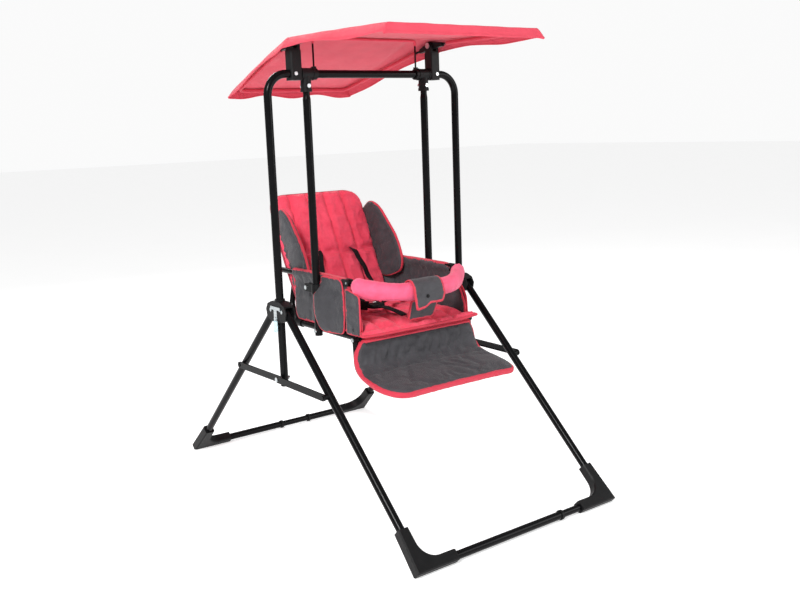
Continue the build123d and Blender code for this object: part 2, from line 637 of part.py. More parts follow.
save("top_arch", top_arch())
save("posts", *pair(post))
save("post_end_plugs", *pair(post_plug))
save("brace_centre_bolts", *pair(brace_bolt))
save("canopy_posts", *pair(canopy_post))
save("canopy_post_fasteners", *pair(canopy_post_screw), *pair(canopy_pivot))
save("canopy_prop_hoop", prop_hoop())
save("prop_hoop_clips", *pair(hoop_clip))

save("hinge_brackets", *pair(hinge_bracket))
save("leg_pivot_bolts", *[leg_bolt(side, end) for side in (LEFT, RIGHT) for end in ENDS.values()])
save("left_lock_plate", lock_plate(LEFT))
save("right_lock_plate", lock_plate(RIGHT))
save("left_lock_tag", lock_tag())

for name, end in ENDS.items():
    save(f"{name}_legs", leg_tube(LEFT, end), leg_tube(RIGHT, end))
    for side_name, side in SIDES.items():
        save(f"{name}_{side_name}_brace", brace_bar(side, end), brace_rivet(side, end))
save("front_feet", foot(LEFT, -1, TUBE_R), foot(RIGHT, -1, SPIGOT_R))
save("front_floor_bar", floor_tube(-1, -POST_X + 18, FRONT_COLLAR_X))
save("front_bar_spigot", floor_tube(-1, FRONT_COLLAR_X - 50, POST_X - 18, SPIGOT_R))
save("front_bar_collar", bar_collar(-1, FRONT_COLLAR_X))
save("rear_feet", foot(LEFT, 1, TUBE_R), foot(RIGHT, 1, TUBE_R))
save("rear_floor_bars", floor_tube(1, -POST_X + 18, REAR_COLLAR_X[0]), floor_tube(1, REAR_COLLAR_X[1], POST_X - 18))
save("rear_bar_joiner", floor_tube(1, REAR_COLLAR_X[0] - 50, REAR_COLLAR_X[1] + 50, SPIGOT_R))
save("rear_bar_collars", *[bar_collar(1, x) for x in REAR_COLLAR_X])

save("hanger_fittings", *pair(hanger_fitting))
save("hanger_tubes", *pair(hanger_tube))
save("hanger_end_plugs", *pair(hanger_plug))
save("hanger_and_arm_bolts", *pair(hanger_bolt), *pair(arm_clamp_screw), *pair(arm_joint_pin))
save("seat_tube", seat_tube())
save("seat_bolts", *pair(seat_bolt), *pair(footrest_bolt))
save("backrest_tube", backrest_tube())
save("rear_cross_tube", rear_cross_tube())
save("rail_elbows", *pair(rail_elbow))
save("arm_tubes", *pair(arm_tube))
save("arm_struts", *pair(arm_strut))
save("arm_clamps", *pair(arm_clamp))
save("arm_joints", *pair(arm_joint))
save("seat_base", seat_base())
save("seat_cushion", seat_cushion())
save("backrest_pad", backrest_pad())
for name, side in SIDES.items():
    save(f"{name}_head_bolster", head_bolster(side))
    save(f"{name}_side_panel", side_panel(side))
save("arm_flaps", *pair(arm_flap), *pair(front_flap))
save("crotch_panel", crotch_panel())
save("harness_straps", *[shoulder_strap(x) for x in (-55, 55)], *pair(lap_strap))
save("harness_buckle", buckle())

save("bumper_tube", bumper_tube())
save("bumper_pad", bumper_pad())
save("bumper_wrap", bumper_wrap())
save("footrest_tube", footrest_tube())
save("footrest_pad", footrest_pad())

save("canopy_knuckles", *pair(canopy_knuckle))
save("canopy_front_rod", canopy_rod(CANOPY_FRONT, -1))
save("canopy_rear_rod", canopy_rod(CANOPY_REAR, 1))
save("canopy_cover", canopy_cover())
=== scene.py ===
import bmesh
import bpy
import json
import numpy as np
from math import cos, exp, pi, radians, sin
from mathutils import Matrix, Vector, noise
from mathutils.geometry import delaunay_2d_cdt


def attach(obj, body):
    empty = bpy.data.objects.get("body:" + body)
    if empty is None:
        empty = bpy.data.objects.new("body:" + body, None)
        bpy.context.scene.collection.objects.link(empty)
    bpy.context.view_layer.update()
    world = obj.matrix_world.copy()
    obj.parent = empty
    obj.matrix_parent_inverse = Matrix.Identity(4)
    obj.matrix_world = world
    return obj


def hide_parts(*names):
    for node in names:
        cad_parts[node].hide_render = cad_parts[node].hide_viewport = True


# Looks of the folding baby swing. Lengths below are in millimetres and become metres as
# each mesh is made. "left" is the -X side and "right" the +X side; the seat faces -Y.
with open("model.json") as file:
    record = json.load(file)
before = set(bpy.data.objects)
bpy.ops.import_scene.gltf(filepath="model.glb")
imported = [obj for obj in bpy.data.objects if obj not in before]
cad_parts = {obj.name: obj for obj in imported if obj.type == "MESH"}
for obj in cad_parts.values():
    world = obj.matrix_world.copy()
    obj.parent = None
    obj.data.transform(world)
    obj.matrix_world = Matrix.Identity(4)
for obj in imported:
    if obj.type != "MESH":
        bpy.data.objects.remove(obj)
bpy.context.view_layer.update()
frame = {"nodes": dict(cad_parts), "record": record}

MM = 0.001
LEFT, RIGHT = -1, 1
SIDES = {"left": LEFT, "right": RIGHT}

RECLINE = radians(24.0)
BACK_Y, RAIL_Z = 158.0, 484.0
ARM_Z = 634.0

PINK = (0.90, 0.085, 0.150)
PINK_DEEP = (0.80, 0.052, 0.105)
BINDING = (0.62, 0.034, 0.066)
BINDING_DARK = (0.36, 0.022, 0.045)
BRIGHT_PINK = (0.90, 0.125, 0.25)
GREY = (0.058, 0.057, 0.064)
GREY_DEEP = (0.040, 0.039, 0.045)


# ---- materials ----
def node(tree, kind, **inputs):
    made = tree.nodes.new(kind)
    for key, value in inputs.items():
        if key in made.inputs:
            made.inputs[key].default_value = value
        else:
            setattr(made, key, value)
    return made


def finish_of(name, colours, tone_scale, rough, bumps, metallic=0.0, sheen=0.0, coat=0.0, weave=None,
              stretch=(1, 1, 1), specular=0.5, scuff=None):
    """Two-tone colour and roughness from noise, layered bumps, and an optional weave period in metres."""
    made = bpy.data.materials.new(name)
    made.use_nodes = True
    tree = made.node_tree
    shader = tree.nodes["Principled BSDF"]
    place = node(tree, "ShaderNodeTexCoord")
    scaled = node(tree, "ShaderNodeMapping", Scale=stretch)
    tree.links.new(place.outputs["Object"], scaled.inputs["Vector"])

    def textured(kind, **values):
        made_node = node(tree, kind, **values)
        tree.links.new(scaled.outputs["Vector"], made_node.inputs["Vector"])
        return made_node

    tone = textured("ShaderNodeTexNoise", Scale=tone_scale, Detail=6.0, Roughness=0.65)
    ramp = node(tree, "ShaderNodeValToRGB")
    ramp.color_ramp.elements[0].position, ramp.color_ramp.elements[1].position = 0.36, 0.64
    ramp.color_ramp.elements[0].color = (*colours[1], 1)
    ramp.color_ramp.elements[1].color = (*colours[0], 1)
    tree.links.new(tone.outputs["Fac"], ramp.inputs["Fac"])
    colour = ramp.outputs["Color"]
    if scuff:
        marks = textured("ShaderNodeTexNoise", Scale=scuff[1], Detail=9.0, Roughness=0.8)
        marks_ramp = node(tree, "ShaderNodeValToRGB")
        marks_ramp.color_ramp.elements[0].position, marks_ramp.color_ramp.elements[1].position = 0.60, 0.74
        tree.links.new(marks.outputs["Fac"], marks_ramp.inputs["Fac"])
        mix = node(tree, "ShaderNodeMix", data_type="RGBA")
        tree.links.new(marks_ramp.outputs["Color"], mix.inputs["Factor"])
        tree.links.new(colour, mix.inputs["A"])
        mix.inputs["B"].default_value = (*scuff[0], 1)
        colour = mix.outputs["Result"]
    tree.links.new(colour, shader.inputs["Base Color"])

    rough_noise = textured("ShaderNodeTexNoise", Scale=tone_scale * 3, Detail=4.0)
    rough_range = node(tree, "ShaderNodeMapRange")
    rough_range.inputs["To Min"].default_value, rough_range.inputs["To Max"].default_value = rough
    tree.links.new(rough_noise.outputs["Fac"], rough_range.inputs["Value"])
    tree.links.new(rough_range.outputs["Result"], shader.inputs["Roughness"])

    last = None
    layers = [(textured("ShaderNodeTexNoise", Scale=scale, Detail=3.0).outputs["Fac"], depth)
              for scale, depth in bumps]
    if weave:
        for axis in "XYZ":
            bands = textured("ShaderNodeTexWave", bands_direction=axis, Scale=0.314 / weave, Distortion=0.6)
            bands.inputs["Detail Scale"].default_value = 0.5
            layers.append((bands.outputs["Fac"], weave * 0.16))
    for output, depth in layers:
        bump = node(tree, "ShaderNodeBump", Distance=depth, Strength=0.8)
        tree.links.new(output, bump.inputs["Height"])
        if last:
            tree.links.new(last.outputs["Normal"], bump.inputs["Normal"])
        last = bump
    tree.links.new(last.outputs["Normal"], shader.inputs["Normal"])
    shader.inputs["Metallic"].default_value = metallic
    shader.inputs["Specular IOR Level"].default_value = specular
    shader.inputs["Coat Weight"].default_value = coat
    shader.inputs["Coat Roughness"].default_value = 0.12
    shader.inputs["Sheen Weight"].default_value = sheen
    shader.inputs["Sheen Roughness"].default_value = 0.45
    return made


def cloth_finish(name, colour, deep, rough=(0.55, 0.75), sheen=0.12, weave=0.0011):
    return finish_of(name, (colour, deep), 22, rough, [(70, 0.0012), (900, 0.00012)], sheen=sheen, weave=weave,
                     specular=0.35)


STEEL = finish_of("black_powder_coat", ((0.0045, 0.0045, 0.005), (0.003, 0.003, 0.0035)), 30, (0.16, 0.26),
                  [(520, 0.00006)], coat=0.0, specular=0.10, scuff=((0.012, 0.012, 0.013), 160))
PLASTIC = finish_of("moulded_black_plastic", ((0.0075, 0.0075, 0.008), (0.005, 0.005, 0.0055)), 45, (0.36, 0.54),
                    [(1500, 0.00009), (120, 0.0001)], specular=0.16, scuff=((0.014, 0.014, 0.015), 240))
ZINC = finish_of("zinc_plate", ((0.66, 0.70, 0.70), (0.48, 0.52, 0.54)), 60, (0.26, 0.46),
                 [(700, 0.00006)], metallic=1.0, stretch=(1, 1, 9))
PINK_CLOTH = cloth_finish("pink_coated_cloth", PINK, PINK_DEEP)
CANOPY_CLOTH = cloth_finish("pink_canopy_cloth", (0.72, 0.058, 0.100), (0.65, 0.045, 0.082))
BRIGHT_CLOTH = cloth_finish("bright_pink_cloth", BRIGHT_PINK, (0.80, 0.085, 0.18), rough=(0.42, 0.6))
GREY_CLOTH = cloth_finish("grey_coated_cloth", GREY, GREY_DEEP, rough=(0.46, 0.66), weave=0.0013)
BINDING_TAPE = cloth_finish("pink_binding_tape", BINDING, (0.60, 0.030, 0.062), weave=0.0008)
PIPING_TAPE = cloth_finish("dark_red_piping", BINDING_DARK, (0.26, 0.015, 0.03), weave=0.0008)
THREAD = cloth_finish("stitching_thread", (0.88, 0.22, 0.28), (0.74, 0.13, 0.18), weave=0.0006)
WEBBING = finish_of("ribbed_webbing", ((0.006, 0.006, 0.007), (0.010, 0.010, 0.011)), 60, (0.6, 0.8), [(600, 0.0002)],
                    weave=0.0022, sheen=0.02, specular=0.15)
FILM = finish_of("pale_film", ((0.55, 0.78, 0.86), (0.66, 0.85, 0.90)), 50, (0.10, 0.22), [(90, 0.002)], coat=0.4)
FILM.node_tree.nodes["Principled BSDF"].inputs["Alpha"].default_value = 0.75

CAD_FINISH = {"black_steel": STEEL, "black_plastic": PLASTIC, "zinc_steel": ZINC}
slot_of = {part["node"]: part["material_slot"] for part in frame["record"]["subparts"]}
for cad_name, cad_object in frame["nodes"].items():
    dressed = CAD_FINISH.get(slot_of[cad_name])
    if dressed:
        for material_slot in cad_object.material_slots:
            material_slot.material = dressed


# ---- mesh helpers ----
def mesh_object(name, vertices, faces, materials, face_material=None):
    """Closed smooth mesh from points in millimetres."""
    mesh = bpy.data.meshes.new(name)
    corners = [tuple(float(c) * MM for c in v) for v in vertices]
    mesh.from_pydata(corners, [], [tuple(int(i) for i in f) for f in faces])
    for material in materials:
        mesh.materials.append(material)
    if face_material is not None:
        mesh.polygons.foreach_set("material_index", face_material)
    mesh.polygons.foreach_set("use_smooth", [True] * len(mesh.polygons))
    shape = bmesh.new()
    shape.from_mesh(mesh)
    bmesh.ops.recalc_face_normals(shape, faces=shape.faces)
    shape.to_mesh(mesh)
    shape.free()
    made = bpy.data.objects.new(name, mesh)
    bpy.context.scene.collection.objects.link(made)
    return made


def rounded(points, radius, closed=True, steps=7):
    """Polyline with each corner replaced by a smooth curve; radius is one number or one per point."""
    points = [Vector(p) for p in points]
    count = len(points)
    radii = list(radius) if hasattr(radius, "__len__") else [radius] * count
    out = []
    for i, corner in enumerate(points):
        if radii[i] <= 0 or (not closed and i in (0, count - 1)):
            out.append(corner)
            continue
        before, after = points[i - 1] - corner, points[(i + 1) % count] - corner
        reach = min(radii[i], before.length * 0.48, after.length * 0.48)
        a, b = corner + before.normalized() * reach, corner + after.normalized() * reach
        for k in range(steps + 1):
            t = k / steps
            out.append(a * (1 - t) ** 2 + corner * (2 * t * (1 - t) * 0.9) + b * t ** 2
                       + (a + b) * (0.1 * t * (1 - t)))
    return np.array([tuple(p) for p in out])


def resample(points, step, closed=True):
    points = np.asarray(points, float)
    loop = np.vstack([points, points[:1]]) if closed else points
    lengths = np.r_[0, np.cumsum(np.linalg.norm(np.diff(loop, axis=0), axis=1))]
    count = max(int(round(lengths[-1] / step)), 3)
    marks = np.linspace(0, lengths[-1], count + 1)
    marks = marks[:-1] if closed else marks
    return np.column_stack([np.interp(marks, lengths, loop[:, k]) for k in range(loop.shape[1])])


def distance(points, line, closed=True):
    """Distance of each 2-D point from a polyline."""
    ends = np.roll(line, -1, axis=0) if closed else line[1:]
    starts = line if closed else line[:-1]
    best = np.full(len(points), 1e9)
    for a, b in zip(starts, ends):
        run = b - a
        share = np.clip(((points - a) @ run) / max(run @ run, 1e-9), 0, 1)
        best = np.minimum(best, np.linalg.norm(points - a - share[:, None] * run, axis=1))
    return best


def inside(points, loop):
    x, y = points[:, 0], points[:, 1]
    odd = np.zeros(len(points), bool)
    for a, b in zip(loop, np.roll(loop, -1, axis=0)):
        crosses = (a[1] > y) != (b[1] > y)
        with np.errstate(divide="ignore", invalid="ignore"):
            odd ^= crosses & (x < (b[0] - a[0]) * (y - a[1]) / (b[1] - a[1]) + a[0])
    return odd


def ripple(points, scale, seed):
    """Smooth noise from -1 to 1 at each point."""
    return np.array([noise.noise(Vector((p[0] / scale[0] + seed, p[1] / scale[1] - seed, seed * 1.7)))
                     for p in points])


def settle(piece, pinned, cap, pressure=4.0, swell=0.0):
    """Lets air pressure puff the cloth between its pinned seams, with no point moving further than cap."""
    scene = bpy.context.scene
    rest = np.array([v.co for v in piece.data.vertices])
    group = piece.vertex_groups.new(name="pinned")
    group.add([int(i) for i in pinned], 1.0, "REPLACE")
    cloth = piece.modifiers.new("cloth", "CLOTH")
    cloth.settings.quality = 6
    cloth.settings.mass = 0.25
    cloth.settings.tension_stiffness = cloth.settings.compression_stiffness = 22
    cloth.settings.shear_stiffness = 8
    cloth.settings.bending_stiffness = 0.35
    cloth.settings.use_pressure = True
    cloth.settings.uniform_pressure_force = pressure
    cloth.settings.shrink_min = cloth.settings.shrink_max = swell
    cloth.settings.vertex_group_mass = "pinned"
    cloth.settings.effector_weights.gravity = 0
    cloth.collision_settings.use_collision = False
    cloth.point_cache.frame_start, cloth.point_cache.frame_end = 1, 20
    for step in range(1, 19):
        scene.frame_set(step)
    view = piece.evaluated_get(bpy.context.evaluated_depsgraph_get())
    moved = np.array([v.co for v in view.data.vertices])
    scene.frame_set(1)
    piece.modifiers.remove(cloth)
    piece.vertex_groups.remove(group)
    shift = moved - rest
    size = np.linalg.norm(shift, axis=1, keepdims=True)
    limit = cap * MM
    shift *= np.where(size > 1e-9, limit * np.tanh(size / limit) / np.maximum(size, 1e-9), 1)
    piece.data.vertices.foreach_set("co", (rest + shift).ravel())
    piece.data.update()


def panel(name, outline, place, material, edge, crown, seams=(), cell=6.0, crown_width=30.0, seam_depth=0.8,
          seam_width=8.0, wrinkle=0.7, wrinkle_scale=(34, 34), shape=None, cap=5.0, swell=-0.04, seed=1.0):
    """Padded panel over an outline. place(u, v, n) puts a point with height n over the panel's own plane."""
    border = resample(outline, cell)
    lines = [resample(np.array(line, float), cell, closed=False) for line in seams]
    low, high = border.min(axis=0), border.max(axis=0)
    rows = np.arange(low[1], high[1], cell * 0.9)
    grid = np.array([(x + (cell / 2 if k % 2 else 0), y) for k, y in enumerate(rows)
                     for x in np.arange(low[0], high[0], cell)])
    keep = inside(grid, border) & (distance(grid, border) > 0.65 * cell)
    for line in lines:
        keep &= distance(grid, line, closed=False) > 0.5 * cell
    stack = [border, grid[keep]]
    for line in lines:
        ok = inside(line, border) & (distance(line, border) > 0.5 * cell)
        stack.append(line[ok])
    flat = np.vstack(stack)
    count = len(border)
    loop = [(i, (i + 1) % count) for i in range(count)]
    found = delaunay_2d_cdt([Vector(p) for p in flat], loop, [], 1, 1e-4)
    uv = np.array([tuple(p) for p in found[0]])
    triangles = found[2]
    rim = {}
    for index, origins in enumerate(found[3]):
        for origin in origins:
            if origin < count:
                rim[origin] = index
    rim = [rim[i] for i in range(count)]

    gap = distance(uv, border)
    seam_gap = np.full(len(uv), 1e3)
    for line in lines:
        seam_gap = np.minimum(seam_gap, distance(uv, line, closed=False))
    rise = np.sqrt(np.clip(1 - (1 - np.clip(gap / crown_width, 0, 1)) ** 2, 0, 1))
    pinch = 1 - seam_depth * np.exp(-(seam_gap / seam_width) ** 2)
    fine_scale = (wrinkle_scale[0] * 0.45, wrinkle_scale[1] * 0.45)
    fold = ripple(uv, wrinkle_scale, seed) * 0.65 + ripple(uv, fine_scale, seed + 7) * 0.35
    pucker = ripple(uv, (9, 9), seed + 3) * np.exp(-(np.minimum(seam_gap, gap) / 14) ** 2) * 0.5
    top = edge[1] + crown[1] * rise * pinch + wrinkle * rise * (fold + pucker)
    bottom = edge[0] - crown[0] * rise * pinch + 0.4 * wrinkle * rise * fold
    if shape is not None:
        extra_low, extra_high = shape(uv[:, 0], uv[:, 1])
        top, bottom = top + extra_high, bottom + extra_low
    total = len(uv)
    vertices = [place(u, v, n) for face in (top, bottom) for (u, v), n in zip(uv, face)]
    faces = [tuple(t) for t in triangles]
    faces += [tuple(i + total for i in reversed(t)) for t in triangles]
    for k in range(count):
        a, b = rim[k], rim[(k + 1) % count]
        faces.append((a, b, b + total, a + total))
    made = mesh_object(name, vertices, faces, [material])
    if cap > 0:
        held = [i for i in range(total) if gap[i] < 0.3 * cell or seam_gap[i] < 0.3 * cell]
        settle(made, held + [i + total for i in held], cap, swell=swell)
    return made


# a stitch is a thin double pyramid on four corners, with its tips numbered 4 and 5
STITCH_FACES = ((0, 2, 4), (2, 1, 4), (1, 3, 4), (3, 0, 4), (2, 0, 5), (1, 2, 5), (3, 1, 5), (0, 3, 5))


def binding(name, outline, place, edge, material=None, half_width=4.2, lift=1.3, inset=2.6, stitched=True,
            seed=4.0):
    """Tape folded over a panel's edge, with a row of stitches along it."""
    border = resample(outline, 4.0)
    count = len(border)
    along = np.roll(border, -1, axis=0) - np.roll(border, 1, axis=0)
    along /= np.linalg.norm(along, axis=1, keepdims=True)
    following = np.roll(border, -1, axis=0)
    area = np.sum(border[:, 0] * following[:, 1] - following[:, 0] * border[:, 1])
    inward = np.column_stack([-along[:, 1], along[:, 0]]) * (1 if area > 0 else -1)
    middle, half = (edge[0] + edge[1]) / 2, (edge[1] - edge[0]) / 2 + lift
    sides = 12
    wave = ripple(border, (13, 13), seed)
    vertices, faces = [], []
    for k in range(count):
        for j in range(sides):
            angle = 2 * pi * j / sides
            flat_cos = abs(cos(angle)) ** 0.8 * (1 if cos(angle) > 0 else -1)
            flat_sin = abs(sin(angle)) ** 0.6 * (1 if sin(angle) > 0 else -1)
            across = inset + half_width * flat_cos * (1 + 0.10 * wave[k])
            u, v = border[k] + inward[k] * across
            vertices.append(place(u, v, middle + half * flat_sin * (1 + 0.12 * wave[k])))
    for k in range(count):
        for j in range(sides):
            faces.append((k * sides + j, k * sides + (j + 1) % sides,
                          ((k + 1) % count) * sides + (j + 1) % sides, ((k + 1) % count) * sides + j))
    tags = [0] * len(faces)
    if stitched:
        for k in range(0, count - 1):
            for level in (middle + half * 1.0, middle - half * 1.0):
                ends = []
                for share in (0.12, 0.74):
                    point = border[k] * (1 - share) + border[(k + 1) % count] * share
                    ends.append(point + inward[k] * (inset + half_width * 0.25))
                start = len(vertices)
                out = 0.55 if level > middle else -0.55
                side = inward[k] * 0.45
                centre = (ends[0] + ends[1]) / 2
                vertices += [place(*point, level) for point in (*ends, centre + side, centre - side)]
                vertices += [place(*centre, level + out), place(*centre, level - out)]
                for a, b, c in STITCH_FACES:
                    faces.append((start + a, start + b, start + c))
                    tags.append(1)
    return mesh_object(name, vertices, faces, [material or BINDING_TAPE, THREAD], tags)


def sweep(name, points, section, material, up=(0, 0, 1), closed=False):
    """Sweeps section(share, angle) -> (across, along up) round a path; share runs from 0 to 1."""
    points = [Vector(p) for p in points]
    count, sides = len(points), 28
    vertices, faces = [], []
    for k, point in enumerate(points):
        before = points[k - 1] if (closed or k) else point
        after = points[(k + 1) % count] if (closed or k < count - 1) else point
        tangent = (after - before).normalized()
        across = tangent.cross(Vector(up)).normalized()
        rise = across.cross(tangent).normalized()
        for j in range(sides):
            a, b = section(k / (count - 1), 2 * pi * j / sides)
            vertices.append(point + across * a + rise * b)
    rings = count if closed else count - 1
    for k in range(rings):
        for j in range(sides):
            faces.append((k * sides + j, k * sides + (j + 1) % sides,
                          ((k + 1) % count) * sides + (j + 1) % sides, ((k + 1) % count) * sides + j))
    if not closed:
        for k, point in ((0, points[0]), (count - 1, points[-1])):
            hub = len(vertices)
            vertices.append(point)
            for j in range(sides):
                ring = (k * sides + j, k * sides + (j + 1) % sides)
                faces.append((hub, *ring) if k else (hub, *reversed(ring)))
    return mesh_object(name, vertices, faces, [material])


def round_section(radius):
    return lambda share, angle: (radius * cos(angle), radius * sin(angle))


def tape_section(width, thick):
    def section(share, angle):
        c, s = cos(angle), sin(angle)
        across = width / 2 * abs(c) ** 0.35 * (1 if c > 0 else -1)
        return (across, thick / 2 * abs(s) ** 0.5 * (1 if s > 0 else -1))
    return section


def profile(path):
    """Position and normal along a 2-D polyline, by length from its start."""
    path = np.asarray(path, float)
    lengths = np.r_[0, np.cumsum(np.linalg.norm(np.diff(path, axis=0), axis=1))]

    def at(s):
        p = np.array([np.interp(s, lengths, path[:, k]) for k in (0, 1)])
        a = np.array([np.interp(s - 5, lengths, path[:, k]) for k in (0, 1)])
        b = np.array([np.interp(s + 5, lengths, path[:, k]) for k in (0, 1)])
        run = (b - a) / max(np.linalg.norm(b - a), 1e-9)
        over = 0.0
        if s < 0:
            over = s
        elif s > lengths[-1]:
            over = s - lengths[-1]
        return p + run * over, np.array([-run[1], run[0]])
    at.length = lengths[-1]
    return at


def stud(name, centre, axis, radius=5.0):
    """Domed press stud with a rim, standing on a surface along axis."""
    rings = [(radius * share, height) for share, height in
             ((1, -0.6), (1, 0.6), (0.9, 1.3), (0.66, 1.1), (0.6, 1.5), (0.3, 2.3))]
    turn = Vector(axis).to_track_quat("Z", "Y").to_matrix()
    vertices, faces, sides = [], [], 24
    for r, h in rings:
        angles = [2 * pi * j / sides for j in range(sides)]
        vertices += [Vector(centre) + turn @ Vector((r * cos(a), r * sin(a), h)) for a in angles]
    for k in range(len(rings) - 1):
        for j in range(sides):
            faces.append((k * sides + j, k * sides + (j + 1) % sides,
                          (k + 1) * sides + (j + 1) % sides, (k + 1) * sides + j))
    for k, h in ((0, rings[0][1]), (len(rings) - 1, 2.5)):
        hub = len(vertices)
        vertices.append(Vector(centre) + turn @ Vector((0, 0, h)))
        faces += [(hub, k * sides + j, k * sides + (j + 1) % sides) for j in range(sides)]
    return mesh_object(name, vertices, faces, [PLASTIC])


def belongs(piece, body, slot_name, *nodes):
    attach(piece, body)
    if nodes:
        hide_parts(*nodes)
    return piece


# ---- backrest ----
def back_point(x, up, forward=0.0):
    y = BACK_Y + up * sin(RECLINE) - forward * cos(RECLINE)
    return (x, y, RAIL_Z + up * cos(RECLINE) + forward * sin(RECLINE))


def back_place(x, up, n):
    return back_point(x, up, 10.0 + n)


back_outline = rounded([(-168, 18), (152, 18), (156, 150), (154, 396), (-178, 396), (-178, 150)],
                       [16, 16, 90, 58, 52, 90])
back_seams = [[(x * 0.92 - 10, 24), (x - 11, 196), (x * 0.94 - 12, 388)] for x in (-101, -34, 34, 101)]
back_seams.append([(-174, 196), (-60, 193.5), (60, 193.5), (153, 196)])
backrest = panel("backrest_pad_cover", back_outline, back_place, PINK_CLOTH, (0.0, 7.0), (1.0, 15.0), back_seams,
                 cell=5.5, crown_width=26, seam_depth=0.86, seam_width=9, wrinkle=1.6, wrinkle_scale=(20, 46), cap=7)
belongs(backrest, "swing_seat", "pink_fabric", "backrest_pad")
piping = binding("backrest_piping", back_outline, back_place, (0.0, 7.0), PIPING_TAPE, 2.6, 0.6, 0.6)
belongs(piping, "swing_seat", "pink_fabric")

# ---- head bolsters ----
LEAF = [(104, 11), (84, 50), (82, 112), (112, 132), (182, 136), (306, 96), (340, 62), (326, 11)]
for side_name, side in SIDES.items():
    def leaf_place(up, forward, n, side=side):
        flare = 0.10 * max(forward - 34, 0)
        return back_point(side * ((158 if side > 0 else 166) + flare - n), up, forward)
    leaf_outline = rounded(LEAF, [14, 22, 15, 16, 40, 22, 16, 10])
    bolster = panel(f"{side_name}_bolster_cover", leaf_outline, leaf_place, GREY_CLOTH, (-3.5, 3.5), (5.0, 6.5),
                    cell=5.5, crown_width=34, wrinkle=0.9, wrinkle_scale=(40, 22), cap=5, seed=2.0 + side)
    belongs(bolster, "swing_seat", "grey_fabric", f"{side_name}_head_bolster")
    tape = binding(f"{side_name}_bolster_binding", leaf_outline, leaf_place, (-3.5, 3.5), seed=side + 6)
    belongs(tape, "swing_seat", "grey_fabric")


# ---- side panels and their flaps ----
def near_arm(z, reach=15.0):
    return np.exp(-((np.asarray(z) - ARM_Z) / reach) ** 2)


for side_name, side in SIDES.items():
    def wall_place(y, z, n, side=side):
        return (side * (185 + n), y, z)
    wall_outline = rounded([(140, 496), (152, 512), (152, 600), (156, 647), (0, 647), (-112, 645), (-130, 640),
                            (-150, 602), (-180, 560), (-192, 524), (-190, 496)],
                           [8, 10, 40, 8, 40, 14, 10, 20, 40, 20, 8])
    wall = panel(f"{side_name}_side_panel_cover", wall_outline, wall_place, GREY_CLOTH, (-2.0, 2.0), (3.0, 1.0),
                 seams=[[(148, 590), (60, 588), (-60, 586), (-150, 590)], [(60, 500), (62, 588)],
                        [(-70, 500), (-68, 586)]],
                 cell=6, crown_width=22, seam_depth=0.7, wrinkle=0.8, wrinkle_scale=(46, 20), cap=2.2, seed=9 + side,
                 shape=lambda y, z: (-9.0 * near_arm(z), 5.5 * near_arm(z) * np.clip((y + 122) / 12, 0, 1)))
    belongs(wall, "swing_seat", "grey_fabric", f"{side_name}_side_panel")

    def wall_trim(y, z, n, side=side):
        return (side * (185 - 1.8 * near_arm(z) + n * (1 + 1.9 * near_arm(z, 18))), y, z)
    tape = binding(f"{side_name}_side_panel_binding", wall_outline, wall_trim, (-2.0, 2.0), seed=side + 11)
    belongs(tape, "swing_seat", "grey_fabric")

    def flap_place(y, z, n, side=side):
        """Flat against the wall in front, and bulging outward round the hanger behind."""
        rear = min(max((y + 85) / 80, 0.0), 1.0)
        below = min(max((632 - z) / 46, 0.0), 1.0)
        below *= 0.55 + 0.45 * min(max((z - 486) / 60, 0.0), 1.0)
        round_hanger = 27.0 * rear * rear * (3 - 2 * rear) * below * below * (3 - 2 * below)
        return (side * (190.6 + 3.0 * float(near_arm(z, 20)) + round_hanger + n), y, z)
    front_corners = [(-127, 492), (-127, 612), (-134, 618), (-188, 606), (-195, 598), (-194, 492)]
    if side > 0:
        front_corners[3:5] = [(-152, 606), (-190, 556)]
    for flap_name, corners, radii, snap in (
            ("arm_flap", [(-12, 642), (-8, 606), (-4, 572), (-5, 530), (-16, 492), (-30, 484), (-112, 485),
                          (-119, 540), (-118, 634), (-100, 643)],
             [10, 14, 16, 20, 14, 14, 18, 40, 10, 12], (-80, 510)),
            ("front_flap", front_corners, [6, 12, 8, 10, 14, 8], (-163, 508))):
        flap_outline = rounded(corners, radii)
        flap = panel(f"{side_name}_{flap_name}_cover", flap_outline, flap_place, GREY_CLOTH, (0.2, 2.0), (0.0, 2.6),
                     seams=[[(-18, 606), (-122, 604)]] if flap_name == "arm_flap" else (), crown_width=18,
                     cell=6, wrinkle=1.2, wrinkle_scale=(26, 34), cap=1.6, seed=14 + side)
        stands_for = ["arm_flaps"] if (side, flap_name) == (LEFT, "arm_flap") else []
        belongs(flap, "swing_seat", "grey_fabric", *stands_for)
        tape = binding(f"{side_name}_{flap_name}_binding", flap_outline, flap_place, (0.2, 2.0), seed=side + 21,
                       lift=1.1)
        belongs(tape, "swing_seat", "grey_fabric")
        snap_stud = stud(f"{side_name}_{flap_name}_stud", (side * 194.6, *snap), (side, 0, 0))
        belongs(snap_stud, "swing_seat", "grey_fabric")

for side_name, side in SIDES.items():
    def lining_place(u, z, n, side=side):
        """Runs from the wall's rear edge (u = 0) to the leaning backrest (u = 60)."""
        back_y = BACK_Y + (z - RAIL_Z) * sin(RECLINE) / cos(RECLINE) - 10
        return (side * (180 - 24 * u / 60 + n), 147 + (back_y - 147) * u / 60, z)
    lining_outline = rounded([(0, 500), (60, 500), (60, 626), (0, 636)], 6)
    lining = panel(f"{side_name}_corner_lining", lining_outline, lining_place, GREY_CLOTH, (-1.0, 1.0), (0.5, 1.0),
                   cell=6, crown_width=14, wrinkle=1.0, cap=0, seed=24 + side)
    belongs(lining, "swing_seat", "grey_fabric")


